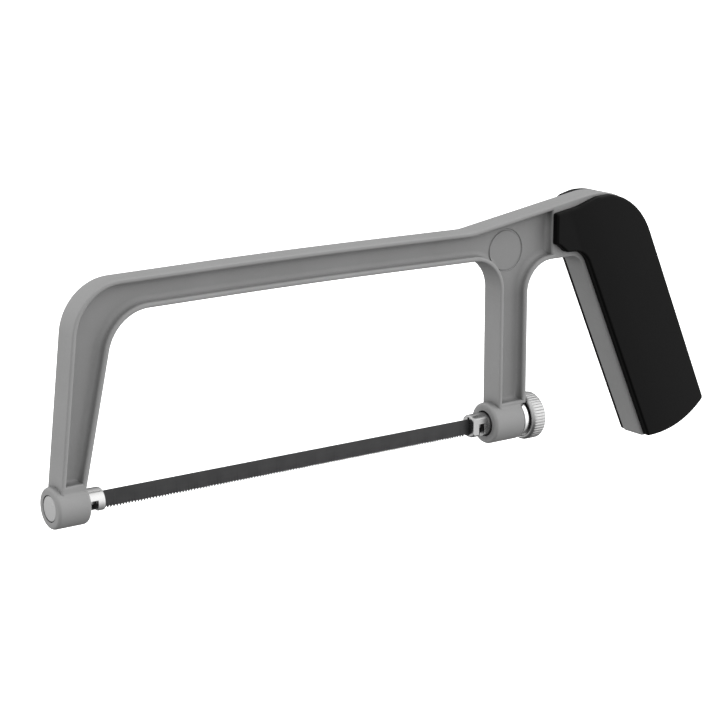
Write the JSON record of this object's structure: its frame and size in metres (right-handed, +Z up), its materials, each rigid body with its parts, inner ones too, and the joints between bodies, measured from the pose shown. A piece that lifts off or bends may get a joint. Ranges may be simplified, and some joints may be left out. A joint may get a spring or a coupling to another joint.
{
  "type": "hacksaw",
  "caption": "Small pistol-grip hacksaw: cast frame with recessed web, pinned blade in slotted holders, knurled tension nut behind the rear leg, moulded grip scales.",
  "frame": {"origin": "centre of the bounding box in X and Y, at the handle's lowest point in Z; the blade lies in the plane Y = 0, 15 mm above the origin", "axes": "+X along the blade from the front boss to the handle, +Z up from the blade to the bar, -Y is the saw's right-hand side when it is pushed towards -X"},
  "size_m": [0.2634, 0.0162, 0.0904],
  "materials": {
    "cast_frame": "light grey satin enamel on a casting",
    "holder_steel": "bright turned steel",
    "plated_steel": "bright nickel plated steel",
    "blade_steel": "blackened saw blade steel",
    "grip_plastic": "black satin moulded plastic"
  },
  "bodies": {
    "frame": {"frame": "cast_frame", "front_holder": "holder_steel", "thrust_washer": "plated_steel", "right_grip": "grip_plastic", "left_grip": "grip_plastic", "grip_screw_upper": "plated_steel", "grip_screw_middle": "plated_steel", "grip_screw_lower": "plated_steel"},
    "nut": {"tension_nut": "plated_steel"},
    "bolt": {"tension_bolt": "holder_steel"},
    "blade": {"blade": "blade_steel", "blade_pin_front": "holder_steel", "blade_pin_rear": "holder_steel"}
  },
  "joints": [
    {"name": "nut_turn", "type": "hinge", "parent": "frame", "child": "nut", "pos_m": [0.05322, 0, 0.01457], "axis": [1, 0, 0], "range_deg": [0, 720]},
    {"name": "bolt_slide", "type": "slide", "parent": "frame", "child": "bolt", "axis": [-1, 0, 0], "range_m": [0, 0.0016]},
    {"name": "blade_unhook", "type": "hinge", "parent": "bolt", "child": "blade", "pos_m": [0.03132, 0, 0.01457], "axis": [0, -1, 0], "range_deg": [0, 35]}
  ],
  "couplings": [
    {"joint": "nut_turn", "follows": "bolt_slide", "rad_per_m": 7850}
  ]
}
